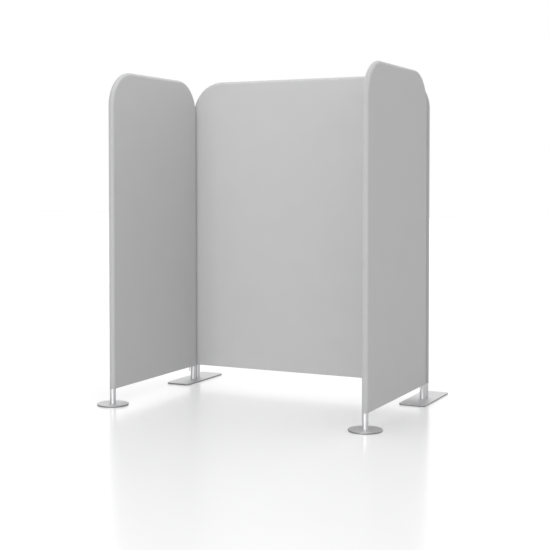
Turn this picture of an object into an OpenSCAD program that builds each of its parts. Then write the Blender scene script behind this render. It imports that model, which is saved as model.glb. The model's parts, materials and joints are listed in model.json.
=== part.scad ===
// Study carrel: three tension-cloth screens on a U plan.
// Each screen is a tube frame in a zipped cloth sleeve. The two side screens
// slip over spigots on the twin base plates, and turn on them as wings.
// Row frame: +Z up, +Y towards the rear screen, origin on the floor at the
// centre of the footprint.

/* [Screens] */
// Width of the rear screen's tube frame, over its cloth
rear_w = 1500; // [1200:50:2000]
// Width of each side screen's tube frame, over its cloth
side_w = 900; // [700:50:1200]
// Height of the screens, from the top of the base plates
frame_h = 1800; // [1400:50:2200]
// Clear height between the base plates and the cloth
floor_gap = 80; // [60:5:200]

/* [Frame tube] */
// Outside diameter of the frame tube
tube_d = 32; // [28:1:38]
// Wall of the frame tube
tube_wall = 1.5; // [1.2:0.1:2]
// Radius of the top corners, at the tube's centreline
bend_r = 175; // [100:5:250]
// Height of the joint between lower and upper tubes
joint_h = 900; // [700:50:1000]

/* [Cloth cover] */
// Thickness of the cloth
cloth_t = 0.5; // [0.4:0.1:0.8]
// Width of the slot that the zip closes
zip_slot_w = 10; // [8:1:12]

/* [Base plates] */
// Diameter of the disc under each side screen's front post
disc_d = 170; // [140:5:240]
// Width of the twin plate, across the side screen
twin_w = 150; // [120:5:200]
// Length of the twin plate, along the side screen
twin_l = 430; // [350:10:500]
// Corner radius of the twin plate
twin_corner_r = 20; // [10:1:30]
// Thickness of the steel
plate_t = 6; // [5:1:10]
// Thickness of the rubber pad under the steel
pad_t = 2; // [1:0.5:3]
// Distance between the two spigots of a twin plate
spigot_gap = 50; // [46:1:70]

/* [Hidden] */
$fn = 64;
part_gap = 0.1;   // slip fit between a tube and what lies inside or over it
run_gap = 0.05;   // running fit of a spigot in its post

// frame tube
tube_r = tube_d / 2;
bore_r = tube_r - tube_wall;
cloth_in = tube_r + part_gap;
cloth_out = cloth_in + cloth_t;

// levels
plate_top = pad_t + plate_t;
cloth_z = plate_top + floor_gap;
rail_z = cloth_z + cloth_out;
top_z = plate_top + frame_h - cloth_out;
joint_z = plate_top + joint_h;

// plan: axis-to-axis spans, and where the posts stand
rear_span = rear_w - 2 * cloth_out;
side_span = side_w - 2 * cloth_out;
wing_x = rear_span / 2;
plan_depth = disc_d / 2 + side_span + spigot_gap / 2 + twin_l / 2;
front_y = -plan_depth / 2 + disc_d / 2;
hinge_y = front_y + side_span;
rear_y = hinge_y + spigot_gap;
twin_y = (hinge_y + rear_y) / 2;

// sleeve joiners inside the tubes
joiner_r = bore_r - part_gap;
joiner_wall = 1.8;
joiner_half = 70;
button_set = 30;  // button axis, from the joint line
rivet_set = 35;   // rivet axis, from the joint line on the other side

// snap button and its leaf spring
button_r = 4;
button_proud = 2.5;
leaf_t = 0.8;
leaf_w = 8;
leaf_seat = joiner_r - joiner_wall - 1.1;  // centre of a leaf leg, from the tube axis
button_foot = leaf_seat + leaf_t / 2;

// rivet
rivet_r = 2;
rivet_head_r = 4;
rivet_head_t = 1.2;

// stub that carries the bottom rail
stub_reach = 66;
stub_wall = 2;

// zip
zip_inset = 24;     // free cloth between a post's axis and the chain
zip_park = 46;      // closed slider's centre, from the second post's axis
tape_t = 0.9;
teeth_w = 5;
teeth_t = 1.2;
tape_top = cloth_z + cloth_t - 0.05;
teeth_top = tape_top - tape_t;
teeth_low = teeth_top - teeth_t;
slider_l = 16;
slider_w = 9;
slider_top = teeth_top - 0.2;
slider_low = teeth_low - 1.8;
pin_r = 0.8;
eye_r = 1.7;
pin_z = slider_low - 2;
ear_t = 1.1;
ear_in = 3.1;       // inner face of an ear, from the zip's centre
puller_t = 1.2;
puller_w = 5.6;
puller_l = 22;

// foot fasteners
spigot_h = 60;
spigot_r = bore_r - run_gap;
screw_r = 3.95;
screw_hole_r = 4.3;
screw_head_r = 8;
screw_head_t = 4;
screw_len = 24;
pad_inset = 2;

// ---------------------------------------------------------------- placing
// A screen is drawn in its own plane: x runs from its first post (x = 0) to
// its second (x = span), y is its thickness and z is up.

module on_rear() {
    translate([-rear_span / 2, rear_y, 0])
        children();
}

module on_left() {
    translate([-wing_x, front_y, 0])
        rotate(90)
            children();
}

module on_right() {
    translate([wing_x, front_y, 0])
        rotate(90)
            children();
}

// Turns what is drawn for the first post into the second post's mirror twin.
module second_post(span) {
    translate([span, 0, 0])
        mirror([1, 0, 0])
            children();
}

// Carries what is drawn for a vertical joint, at x = 0 and z = 0, to a post's
// mid-height joint, or lays it down at the middle of the top tube.
module at_mid_joint() {
    translate([0, 0, joint_z])
        children();
}

module at_mid_joints(span) {
    at_mid_joint()
        children();
    second_post(span)
        at_mid_joint()
            children();
}

module at_top_joint(span) {
    translate([span / 2, 0, top_z])
        rotate([0, -90, 0])
            mirror([1, 0, 0])
                children();
}

// Where a closed zip's slider stands.
module parked(span) {
    translate([span - zip_park, 0, 0])
        children();
}

// ---------------------------------------------------------------- shapes

module ring(outer, inner) {
    difference() {
        circle(outer);
        circle(inner);
    }
}

module tube(length, outer = tube_r, inner = bore_r) {
    linear_extrude(length)
        ring(outer, inner);
}

// A cylinder along +x, from x = a to x = b.
module rod_x(a, b, r) {
    translate([a, 0, 0])
        rotate([0, 90, 0])
            cylinder(h = b - a, r = r);
}

module rounded_plate(w, l, r, t) {
    linear_extrude(t)
        union() {
            square([w - 2 * r, l], center = true);
            square([w, l - 2 * r], center = true);
            for (sx = [-1, 1], sy = [-1, 1])
                translate([sx * (w / 2 - r), sy * (l / 2 - r)])
                    circle(r);
        }
}

// ---------------------------------------------------------------- tube frame

// Lower upright, with the welded stub that the bottom rail slips over, and the
// hole that the snap button comes out of.
module lower_upright() {
    color("silver")
        difference() {
            union() {
                translate([0, 0, plate_top])
                    cylinder(h = joint_z - plate_top, r = tube_r);
                translate([0, 0, rail_z])
                    rod_x(0, stub_reach, joiner_r);
            }
            translate([0, 0, plate_top - 1])
                cylinder(h = joint_z - plate_top + 2, r = bore_r);
            translate([0, 0, rail_z])
                rod_x(tube_r + 0.5, stub_reach + 1, joiner_r - stub_wall);
            translate([0, 0, joint_z - button_set])
                rod_x(0, tube_r + 1, button_r + part_gap);
        }
}

// Upper tube: half a post, the top corner and half the top rail, in one bend.
// One of a screen's two bends is also riveted to the top joiner.
module upper_bend(span, riveted_top) {
    rise = top_z - bend_r - joint_z;
    run = span / 2 - bend_r;
    color("silver")
        difference() {
            union() {
                translate([0, 0, joint_z])
                    tube(rise);
                translate([bend_r, 0, top_z - bend_r])
                    rotate([90, 0, 0])
                        rotate_extrude(start = 90, angle = 90)
                            translate([bend_r, 0])
                                ring(tube_r, bore_r);
                translate([bend_r, 0, top_z])
                    rotate([0, 90, 0])
                        tube(run);
            }
            translate([0, 0, joint_z + rivet_set])
                rod_x(0, tube_r + 1, rivet_r + run_gap);
            if (riveted_top)
                translate([span / 2 - rivet_set, 0, top_z - tube_r - 1])
                    cylinder(h = tube_r, r = rivet_r + run_gap);
        }
}

// Bottom rail, coped at both ends to sit against the posts.
module bottom_rail(span) {
    color("silver")
        difference() {
            translate([0, 0, rail_z])
                rod_x(tube_r / 2, span - tube_r / 2, tube_r);
            translate([0, 0, rail_z])
                rod_x(0, span, bore_r);
            for (x = [0, span])
                translate([x, 0, cloth_z - 1])
                    cylinder(h = 3 * tube_d, r = tube_r + part_gap);
        }
}

// Sleeve joiner: riveted into one tube, and locked by a snap button in the
// other or just pushed into it.
module joiner(sprung) {
    difference() {
        translate([0, 0, -joiner_half])
            tube(2 * joiner_half, joiner_r, joiner_r - joiner_wall);
        if (sprung)
            translate([0, 0, -button_set])
                rod_x(0, joiner_r + 1, button_r + part_gap);
        translate([0, 0, rivet_set])
            rod_x(0, joiner_r + 1, rivet_r + run_gap);
    }
}

module tube_joiners(span) {
    color("lightgray") {
        at_mid_joints(span)
            joiner(true);
        at_top_joint(span)
            joiner(false);
    }
}

module rivet() {
    bulb_top = joiner_r - joiner_wall - 0.5;
    translate([0, 0, rivet_set]) {
        rod_x(bulb_top - 1.2, bulb_top, rivet_r + 1);
        rod_x(bulb_top, tube_r, rivet_r);
        rod_x(tube_r, tube_r + rivet_head_t, rivet_head_r);
    }
}

module joiner_rivets(span) {
    color("gray") {
        at_mid_joints(span)
            rivet();
        at_top_joint(span)
            rivet();
    }
}

// ---------------------------------------------------------------- snap lock

// Points beside a bent line: the line moved sideways by d, mitred at each bend.
function unit(v) = v / norm(v);
function left_of(v) = [-v.y, v.x];
function beside(p, d) = [
    for (i = [0:len(p) - 1])
        let (
            before = i == 0 ? unit(p[1] - p[0]) : unit(p[i] - p[i - 1]),
            after = i == len(p) - 1 ? before : unit(p[i + 1] - p[i]),
            n = unit(left_of(before) + left_of(after))
        )
        p[i] + n * d / (n * left_of(before))
];
function reversed(p) = [for (i = [len(p) - 1:-1:0]) p[i]];
function ribbon(p, t) = concat(beside(p, t / 2), reversed(beside(p, -t / 2)));

// V-shaped leaf: one leg carries the button, the other bears on the far wall.
module leaf_spring() {
    nose_r = 3;
    nose_z = -61;
    nose = [for (a = [-20:-20:-160]) [nose_r * cos(a), nose_z + nose_r * sin(a)]];
    line = concat(
        [[leaf_seat, -button_set + 6], [leaf_seat, -button_set - 6]],
        nose,
        [[-leaf_seat, -button_set - 12], [-leaf_seat, -button_set + 2]]
    );
    color("dimgray")
        translate([0, leaf_w / 2, 0])
            rotate([90, 0, 0])
                linear_extrude(leaf_w)
                    polygon(ribbon(line, leaf_t));
}

module mid_leaf_spring() {
    at_mid_joint()
        leaf_spring();
}

// Button pin with a rounded nose, at rest with its foot on the leaf.
module snap_button() {
    reach = tube_r + button_proud - button_foot;
    nose = 1.5;
    color("gainsboro")
        translate([button_foot, 0, -button_set])
            rotate([0, 90, 0])
                rotate_extrude()
                    union() {
                        square([button_r, reach - nose]);
                        square([button_r - nose, reach]);
                        intersection() {
                            translate([button_r - nose, reach - nose])
                                circle(nose);
                            square([button_r, reach]);
                        }
                    }
}

module mid_snap_button() {
    at_mid_joint()
        snap_button();
}

// ---------------------------------------------------------------- cloth cover

// Half of a round bar: the half that bulges towards -x.
module half_round(r) {
    intersection() {
        circle(r);
        translate([-2 * r, -2 * r])
            square([2 * r, 4 * r]);
    }
}

// The panel's solid shape about the tube centrelines: flat faces at +-r, and
// half-round edges at the posts, the top corners, the top and the bottom.
module panel_body(span, r, foot_z) {
    side_top = top_z - bend_r;
    for (end = [0, 1])
        translate([end * span, 0, 0])
            mirror([end, 0, 0]) {
                // post edge
                translate([0, 0, foot_z])
                    linear_extrude(side_top - foot_z)
                        half_round(r);
                // corner edge
                translate([bend_r, 0, side_top])
                    rotate([90, 0, 0])
                        rotate_extrude(start = 90, angle = 90)
                            translate([bend_r, 0])
                                mirror([1, 0])
                                    half_round(r);
                // corner face
                translate([bend_r, 0, side_top])
                    rotate([90, 0, 0])
                        translate([0, 0, -r])
                            rotate_extrude(start = 90, angle = 90)
                                square([bend_r, 2 * r]);
                // the stretch of post below the bottom rail's axis
                translate([0, -r, foot_z])
                    cube([r, 2 * r, rail_z - foot_z]);
            }
    // flat faces
    translate([0, -r, rail_z])
        cube([span, 2 * r, side_top - rail_z]);
    translate([bend_r, -r, side_top])
        cube([span - 2 * bend_r, 2 * r, bend_r]);
    // top edge
    translate([bend_r, 0, top_z])
        rotate([0, 90, 0])
            linear_extrude(span - 2 * bend_r)
                half_round(r);
    // bottom edge
    translate([r, 0, rail_z])
        rotate([0, 90, 0])
            linear_extrude(span - 2 * r)
                mirror([1, 0])
                    half_round(r);
}

// Cloth sleeve, open round the posts and along the zip.
module cover(span) {
    color("darkgray")
        difference() {
            panel_body(span, cloth_out, cloth_z);
            panel_body(span, cloth_in, cloth_z - 1);
            translate([zip_inset, -zip_slot_w / 2, cloth_z - 1])
                cube([span - 2 * zip_inset, zip_slot_w, 1 + cloth_out / 2]);
        }
}

// Zip: two tape edges with the closed chain of teeth between them.
module zip_chain(span) {
    play = 0.1;
    color("gray") {
        translate([zip_inset + play, -zip_slot_w / 2 + play, teeth_top])
            cube([span - 2 * (zip_inset + play), zip_slot_w - 2 * play, tape_t]);
        translate([zip_inset + play, -teeth_w / 2, teeth_low])
            cube([span - 2 * (zip_inset + play), teeth_w, teeth_t]);
    }
}

// Slider body, riding under the tape, with the cross pin for its puller.
module zip_slider() {
    color("silver")
        difference() {
            union() {
                translate([-slider_l / 2, -slider_w / 2, slider_low])
                    cube([slider_l, slider_w, slider_top - slider_low]);
                for (side = [-1, 1])
                    translate([0, side * (ear_in + ear_t / 2), pin_z])
                        union() {
                            translate([-1.4, -ear_t / 2, 0])
                                cube([2.8, ear_t, slider_low - pin_z + 0.5]);
                            rotate([90, 0, 0])
                                cylinder(h = ear_t, r = eye_r, center = true);
                        }
                translate([0, 0, pin_z])
                    rotate([90, 0, 0])
                        cylinder(h = 2 * ear_in + ear_t, r = pin_r, center = true);
            }
            translate([-slider_l, -teeth_w / 2 - 0.3, teeth_low - 0.3])
                cube([2 * slider_l, teeth_w + 0.6, slider_top]);
        }
}

// Puller: a flat tab that hangs from the slider's cross pin by its eye.
module zip_puller() {
    color("silver")
        difference() {
            union() {
                translate([0, 0, pin_z])
                    rotate([90, 0, 0])
                        cylinder(h = puller_w, r = eye_r, center = true);
                translate([-puller_t / 2, -puller_w / 2, pin_z - puller_l])
                    cube([puller_t, puller_w, puller_l]);
            }
            translate([0, 0, pin_z])
                rotate([90, 0, 0])
                    cylinder(h = 2 * puller_w, r = pin_r + run_gap, center = true);
        }
}

// ---------------------------------------------------------------- feet

module screw_holes(places) {
    for (p = places)
        translate([p.x, p.y, 0]) {
            translate([0, 0, pad_t - 1])
                cylinder(h = plate_t + 2, r = screw_hole_r);
            translate([0, 0, pad_t])
                cylinder(h = screw_head_t, r1 = screw_head_r + 0.3, r2 = screw_hole_r);
        }
}

// Twin plate, with a countersunk hole under each of its two spigots.
module twin_plate() {
    spigots = [[0, hinge_y - twin_y], [0, rear_y - twin_y]];
    color("gainsboro")
        difference() {
            translate([0, 0, pad_t])
                rounded_plate(twin_w, twin_l, twin_corner_r, plate_t);
            screw_holes(spigots);
        }
}

module disc_foot() {
    color("gainsboro")
        difference() {
            translate([0, 0, pad_t])
                cylinder(h = plate_t, d = disc_d, $fn = 128);
            screw_holes([[0, 0]]);
        }
}

module twin_pad() {
    rounded_plate(twin_w - 2 * pad_inset, twin_l - 2 * pad_inset, twin_corner_r - pad_inset, pad_t);
}

module disc_pad() {
    color("dimgray")
        cylinder(h = pad_t, d = disc_d - 2 * pad_inset, $fn = 128);
}

// Turned spigot with a chamfered nose and a tapped hole for its screw.
module spigot() {
    chamfer = 2;
    color("silver")
        translate([0, 0, plate_top])
            difference() {
                union() {
                    cylinder(h = spigot_h - chamfer, r = spigot_r);
                    translate([0, 0, spigot_h - chamfer])
                        cylinder(h = chamfer, r1 = spigot_r, r2 = spigot_r - chamfer);
                }
                translate([0, 0, -1])
                    cylinder(h = screw_len - plate_t + 3, r = screw_r + run_gap);
            }
}

// Countersunk screw with a hexagon socket, head down in the plate.
module foot_screw() {
    color("gray")
        translate([0, 0, pad_t])
            difference() {
                union() {
                    cylinder(h = screw_head_t, r1 = screw_head_r, r2 = screw_r);
                    cylinder(h = screw_len, r = screw_r);
                }
                translate([0, 0, -1])
                    cylinder(h = 3.5, r = 2.9, $fn = 6);
            }
}

module at_left_disc() {
    translate([-wing_x, front_y, 0])
        children();
}

module at_right_disc() {
    translate([wing_x, front_y, 0])
        children();
}

module at_twin_spigots() {
    for (x = [-wing_x, wing_x], y = [hinge_y, rear_y])
        translate([x, y, 0])
            children();
}

module twin_plate_pads() {
    color("dimgray")
        for (x = [-wing_x, wing_x])
            translate([x, twin_y, 0])
                twin_pad();
}

// ---------------------------------------------------------------- nodes

module left_twin_plate() translate([-wing_x, twin_y, 0]) twin_plate();
module right_twin_plate() translate([wing_x, twin_y, 0]) twin_plate();
module twin_plate_spigots() at_twin_spigots() spigot();
module twin_plate_screws() at_twin_spigots() foot_screw();

module left_disc_foot() at_left_disc() disc_foot();
module left_disc_pad() at_left_disc() disc_pad();
module left_disc_spigot() at_left_disc() spigot();
module left_disc_screw() at_left_disc() foot_screw();
module right_disc_foot() at_right_disc() disc_foot();
module right_disc_pad() at_right_disc() disc_pad();
module right_disc_spigot() at_right_disc() spigot();
module right_disc_screw() at_right_disc() foot_screw();

module rear_left_lower_upright() on_rear() lower_upright();
module rear_right_lower_upright() on_rear() second_post(rear_span) lower_upright();
module rear_left_upper_bend() on_rear() upper_bend(rear_span, true);
module rear_right_upper_bend() on_rear() second_post(rear_span) upper_bend(rear_span, false);
module rear_bottom_rail() on_rear() bottom_rail(rear_span);
module rear_tube_joiners() on_rear() tube_joiners(rear_span);
module rear_joiner_rivets() on_rear() joiner_rivets(rear_span);
module rear_left_leaf_spring() on_rear() mid_leaf_spring();
module rear_right_leaf_spring() on_rear() second_post(rear_span) mid_leaf_spring();
module rear_left_snap_button() on_rear() mid_snap_button();
module rear_right_snap_button() on_rear() second_post(rear_span) mid_snap_button();
module rear_cover() on_rear() cover(rear_span);
module rear_zip_chain() on_rear() zip_chain(rear_span);
module rear_zip_slider() on_rear() parked(rear_span) zip_slider();
module rear_zip_puller() on_rear() parked(rear_span) zip_puller();

module left_front_lower_upright() on_left() lower_upright();
module left_rear_lower_upright() on_left() second_post(side_span) lower_upright();
module left_front_upper_bend() on_left() upper_bend(side_span, true);
module left_rear_upper_bend() on_left() second_post(side_span) upper_bend(side_span, false);
module left_bottom_rail() on_left() bottom_rail(side_span);
module left_tube_joiners() on_left() tube_joiners(side_span);
module left_joiner_rivets() on_left() joiner_rivets(side_span);
module left_front_leaf_spring() on_left() mid_leaf_spring();
module left_rear_leaf_spring() on_left() second_post(side_span) mid_leaf_spring();
module left_front_snap_button() on_left() mid_snap_button();
module left_rear_snap_button() on_left() second_post(side_span) mid_snap_button();
module left_cover() on_left() cover(side_span);
module left_zip_chain() on_left() zip_chain(side_span);
module left_zip_slider() on_left() parked(side_span) zip_slider();
module left_zip_puller() on_left() parked(side_span) zip_puller();

module right_front_lower_upright() on_right() lower_upright();
module right_rear_lower_upright() on_right() second_post(side_span) lower_upright();
module right_front_upper_bend() on_right() upper_bend(side_span, true);
module right_rear_upper_bend() on_right() second_post(side_span) upper_bend(side_span, false);
module right_bottom_rail() on_right() bottom_rail(side_span);
module right_tube_joiners() on_right() tube_joiners(side_span);
module right_joiner_rivets() on_right() joiner_rivets(side_span);
module right_front_leaf_spring() on_right() mid_leaf_spring();
module right_rear_leaf_spring() on_right() second_post(side_span) mid_leaf_spring();
module right_front_snap_button() on_right() mid_snap_button();
module right_rear_snap_button() on_right() second_post(side_span) mid_snap_button();
module right_cover() on_right() cover(side_span);
module right_zip_chain() on_right() zip_chain(side_span);
module right_zip_slider() on_right() parked(side_span) zip_slider();
module right_zip_puller() on_right() parked(side_span) zip_puller();

left_twin_plate();
right_twin_plate();
twin_plate_pads();
twin_plate_spigots();
twin_plate_screws();
left_disc_foot();
left_disc_pad();
left_disc_spigot();
left_disc_screw();
right_disc_foot();
right_disc_pad();
right_disc_spigot();
right_disc_screw();
rear_left_lower_upright();
rear_right_lower_upright();
rear_left_upper_bend();
rear_right_upper_bend();
rear_bottom_rail();
rear_tube_joiners();
rear_joiner_rivets();
rear_left_leaf_spring();
rear_right_leaf_spring();
rear_left_snap_button();
rear_right_snap_button();
rear_cover();
rear_zip_chain();
rear_zip_slider();
rear_zip_puller();
left_front_lower_upright();
left_rear_lower_upright();
left_front_upper_bend();
left_rear_upper_bend();
left_bottom_rail();
left_tube_joiners();
left_joiner_rivets();
left_front_leaf_spring();
left_rear_leaf_spring();
left_front_snap_button();
left_rear_snap_button();
left_cover();
left_zip_chain();
left_zip_slider();
left_zip_puller();
right_front_lower_upright();
right_rear_lower_upright();
right_front_upper_bend();
right_rear_upper_bend();
right_bottom_rail();
right_tube_joiners();
right_joiner_rivets();
right_front_leaf_spring();
right_rear_leaf_spring();
right_front_snap_button();
right_rear_snap_button();
right_cover();
right_zip_chain();
right_zip_slider();
right_zip_puller();
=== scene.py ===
# %% [markdown]
# # A study carrel of three stretched-cloth screens
# The booth stands on a U plan: a rear screen and two side wings. Each is a bent tube
# frame inside a taut knitted sleeve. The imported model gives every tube, plate and
# joint at its true size, and this script adds the looks: the cloth, its seams and
# hems, the rounded edges of the steel feet and the finish of each metal.

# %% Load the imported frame
import json
import math

import bmesh
import bpy
import numpy as np
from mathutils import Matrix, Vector


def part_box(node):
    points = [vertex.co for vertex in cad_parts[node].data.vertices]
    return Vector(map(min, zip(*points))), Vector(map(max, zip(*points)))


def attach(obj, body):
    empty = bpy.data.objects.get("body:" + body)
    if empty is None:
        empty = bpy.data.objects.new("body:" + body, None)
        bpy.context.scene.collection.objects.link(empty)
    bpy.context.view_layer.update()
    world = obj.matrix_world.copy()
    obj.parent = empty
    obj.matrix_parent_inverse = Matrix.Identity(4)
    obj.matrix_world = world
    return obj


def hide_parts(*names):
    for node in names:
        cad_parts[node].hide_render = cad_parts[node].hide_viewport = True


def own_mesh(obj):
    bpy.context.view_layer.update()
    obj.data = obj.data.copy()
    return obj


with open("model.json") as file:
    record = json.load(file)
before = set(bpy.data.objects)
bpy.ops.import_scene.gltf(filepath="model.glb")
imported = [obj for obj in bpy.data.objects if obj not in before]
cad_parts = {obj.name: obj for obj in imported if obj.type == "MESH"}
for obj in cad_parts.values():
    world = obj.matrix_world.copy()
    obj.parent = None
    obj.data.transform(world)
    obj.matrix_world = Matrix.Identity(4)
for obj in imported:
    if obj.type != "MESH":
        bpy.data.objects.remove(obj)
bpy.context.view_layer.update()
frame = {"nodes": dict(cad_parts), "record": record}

SCREENS = ("rear", "left", "right")
BODIES = {"rear": "rear_screen", "left": "left_wing", "right": "right_wing"}

# %% [markdown]
# ## Sizes that the frame gives
# A cover's box tells where its screen stands. Its short side is the thickness over
# the cloth, which is also twice the radius that the cloth takes round a tube. Only
# the radius of the top corners and the cloth's own thickness can't be read off a box,
# so they are named here, in metres.

# %% Measure the three screens
BEND_R = 0.175
CLOTH_THICKNESS = 0.0005


def screen_sizes(name):
    """Post axes, levels and cloth radius of one screen, from its cover's box."""
    low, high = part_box(f"{name}_cover")
    across = 0 if name == "rear" else 1
    radius = (high[1 - across] - low[1 - across]) / 2
    return {
        "name": name,
        "across": across,
        "start": low[across] + radius,
        "span": high[across] - low[across] - 2 * radius,
        "middle": (high[1 - across] + low[1 - across]) / 2,
        "radius": radius,
        "hem_z": low[2],
        "top_z": high[2] - radius,
    }


SIZES = {name: screen_sizes(name) for name in SCREENS}
for name, size in SIZES.items():
    print(name, {k: round(v, 4) for k, v in size.items() if isinstance(v, float)})

# %% [markdown]
# ## Camera
# A long lens from a little above chest height, to the right of the open front. The
# lens stays level enough for the posts to look nearly upright, and a small vertical
# shift places the booth in the frame.

# %% Place the camera
FOCAL_OVER_WIDTH = 2.0614
SENSOR = 36.0
SHIFT_UP = -0.1099
EYE = (2.742, -5.625, 1.213)
LOOK_DOWN = 0.02951
TURN_LEFT = 0.45417
FAR_CLIP = 60

camera_data = bpy.data.cameras.new("camera")
camera_data.sensor_width = SENSOR
camera_data.lens = FOCAL_OVER_WIDTH * SENSOR
camera_data.shift_y = SHIFT_UP
camera_data.clip_end = FAR_CLIP
camera = bpy.data.objects.new("camera", camera_data)
bpy.context.collection.objects.link(camera)
camera.location = EYE
camera.rotation_euler = (math.pi / 2 - LOOK_DOWN, 0, TURN_LEFT)
bpy.context.scene.camera = camera
print("lens:", round(camera_data.lens, 2), "mm")

# %% [markdown]
# ## Helpers for meshes
# Every new piece is one or more grids of points worked out as whole arrays. A grid
# with R rows and C columns gives (R - 1) x (C - 1) four-sided faces, and grids that
# share an edge are welded along it, so a piece is one clean surface.


# %% Faces of a grid
def grid_faces(rows, cols, start=0, wrap=False):
    """Corner numbers of the faces between neighbouring rows and columns of a grid."""
    index = start + np.arange(rows * cols).reshape(rows, cols)
    if wrap:
        index = np.hstack([index, index[:, :1]])
    a, b, c, d = index[:-1, :-1], index[:-1, 1:], index[1:, 1:], index[1:, :-1]
    return np.stack([a, b, c, d], axis=-1).reshape(-1, 4)


print("faces of a grid of 3 x 4 points:", len(grid_faces(3, 4)))


# %% Grids to a piece
WELD = 2e-5


def link(name, mesh, smooth=True):
    """A piece at the origin that shows the mesh."""
    piece = bpy.data.objects.new(name, mesh)
    bpy.context.collection.objects.link(piece)
    mesh.shade_smooth() if smooth else mesh.shade_flat()
    return piece


def mesh_from_grids(name, grids, uvs=None):
    """One mesh from several (points, wrap, flip) grids, welded where they meet."""
    points, faces, coords, start = [], [], [], 0
    for number, (grid, wrap, flip) in enumerate(grids):
        rows, cols = grid.shape[:2]
        quads = grid_faces(rows, cols, start, wrap)
        faces.append(quads[:, ::-1] if flip else quads)
        points.append(grid.reshape(-1, 3))
        if uvs is not None:
            coords.append(uvs[number].reshape(-1, 2))
        start += rows * cols
    points, faces = np.concatenate(points), np.concatenate(faces)
    mesh = bpy.data.meshes.new(name)
    mesh.from_pydata(points, [], faces.tolist())
    if uvs is not None:
        coords = np.concatenate(coords)
        layer = mesh.uv_layers.new(name="cloth")
        layer.data.foreach_set("uv", coords[faces.ravel()].astype(np.float32).ravel())
    work = bmesh.new()
    work.from_mesh(mesh)
    bmesh.ops.remove_doubles(work, verts=work.verts, dist=WELD)
    bmesh.ops.dissolve_degenerate(work, edges=work.edges, dist=WELD / 4)
    work.to_mesh(mesh)
    work.free()
    mesh.update()
    return mesh


def solidify(piece, thickness):
    """Gives a sheet its thickness, to the inside of its outer face."""
    modifier = piece.modifiers.new("thickness", "SOLIDIFY")
    modifier.thickness = thickness
    modifier.offset = -1.0


print("points nearer than", WELD * 1000, "mm are welded")

# %% [markdown]
# ## The cloth of one screen
# A real cover is a pillowcase: a front and a back panel of stretch knit, sewn
# together along the posts and the top, and zipped along the bottom. Pulled over the
# frame it lies flat between the tubes and rolls a quarter turn round them. A block
# with bevelled edges would look like foam board, so each panel is built as the cloth
# lies, from three strips that share their edges:
# - the face, a grid of points between the tube centre lines;
# - the edge roll, a quarter circle carried along the posts, corners and top;
# - the bottom fold, where the cloth turns under the rail to the zip.
#
# Points are worked out in the screen's own plane: s along the width from the first
# post's axis, n through the thickness, z up.

# %% Rows and columns of the face
ROW_STEP = 0.010
COLUMN_STEP = 0.012
ROLL_STEPS = 10
ZIP_START = 0.024
ZIP_HALF = 0.005
ZIP_CLOSE = 0.003
POST_SHARES = (0, 0.3, 0.65, 1)
SEAM_SHARES = (0.5, 0.8, 1)


def face_rows(size):
    """Row heights, insets and turns: even up the post, then even round the corner.

    On the corner at turn a, height = bend level + R sin a and inset = R (1 - cos a).
    """
    rail_z = size["hem_z"] + size["radius"]
    bend_z = size["top_z"] - BEND_R
    up = np.linspace(rail_z, bend_z, int((bend_z - rail_z) / ROW_STEP) + 1)
    turn = np.linspace(0, math.pi / 2, int(BEND_R * math.pi / 2 / ROW_STEP) + 1)[1:]
    heights = np.concatenate([up, bend_z + BEND_R * np.sin(turn)])
    inset = np.concatenate([0 * up, BEND_R * (1 - np.cos(turn))])
    return heights, inset, np.concatenate([0 * up, turn])


def face_columns(size):
    """Distances across, even in the middle and finer beside the posts and zip ends."""
    r, span = size["radius"], size["span"]
    near = np.append(np.array(POST_SHARES) * r, [ZIP_START - ZIP_CLOSE, ZIP_START])
    count = int((span - 2 * ZIP_START) / COLUMN_STEP) + 1
    middle = np.linspace(ZIP_START, span - ZIP_START, count)[1:-1]
    return np.concatenate([near, middle, span - near[::-1]])


def face_grid(size, side):
    """The flat face: rows of points drawn in by the corner's inset at each height."""
    heights, inset, _ = face_rows(size)
    share = face_columns(size) / size["span"]
    s = inset[:, None] + share[None, :] * (size["span"] - 2 * inset[:, None])
    z = np.broadcast_to(heights[:, None], s.shape)
    return np.stack([s, np.full_like(s, side * size["radius"]), z], axis=-1)


print("face rows and columns:", face_grid(SIZES["rear"], -1).shape[:2])

# %% [markdown]
# The cloth isn't perfectly even. A seam allowance folded inside lifts it a little
# beside the seam and pinches it in at the seam itself, and tension gathers it in
# small waves that die out within a few centimetres of every seam.


# %% Cloth relief
MOUND, MOUND_REACH = 0.0006, 0.0042
VALLEY, VALLEY_REACH = 0.0007, 0.0011
GATHER, GATHER_REACH = 0.00012, 0.016
WAVES = ((0.0061, 1, 1), (0.0093, 0.7, 2.1), (0.0147, 0.5, 3.7))  # length, height, shift
WAVES_TOTAL = 2.2
SEEDS = {-1: 1.3, 1: 2.9}


def seam_lift(arc):
    """Height over the even surface at an arc distance from the edge seam, in metres.

    A low mound less a narrow valley, each height * exp(-(arc / reach)^2).
    """
    mound = MOUND * np.exp(-((arc / MOUND_REACH) ** 2))
    valley = VALLEY * np.exp(-((arc / VALLEY_REACH) ** 2))
    return mound - valley


def gather(along, reach, seed):
    """Small waves along a seam: three sines, faded by exp(-distance / reach)."""
    waves = sum(
        height * np.sin(along / length + shift * seed) for length, height, shift in WAVES
    )
    return GATHER * (1 + waves / WAVES_TOTAL) * np.exp(-reach / GATHER_REACH)


trial = np.array([0, 0.004, 0.012])
print("seam height at", trial * 1000, "mm:", np.round(seam_lift(trial) * 1000, 3), "mm")

# %% [markdown]
# ### The edge roll
# The roll's path runs from the hem of the first post up, round the corner, along the
# top and down the other post. At each point of the path a quarter circle leads from
# the face to the seam at the middle of the edge.


# %% Edge roll
SLEEVE_ROWS = 5


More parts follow.
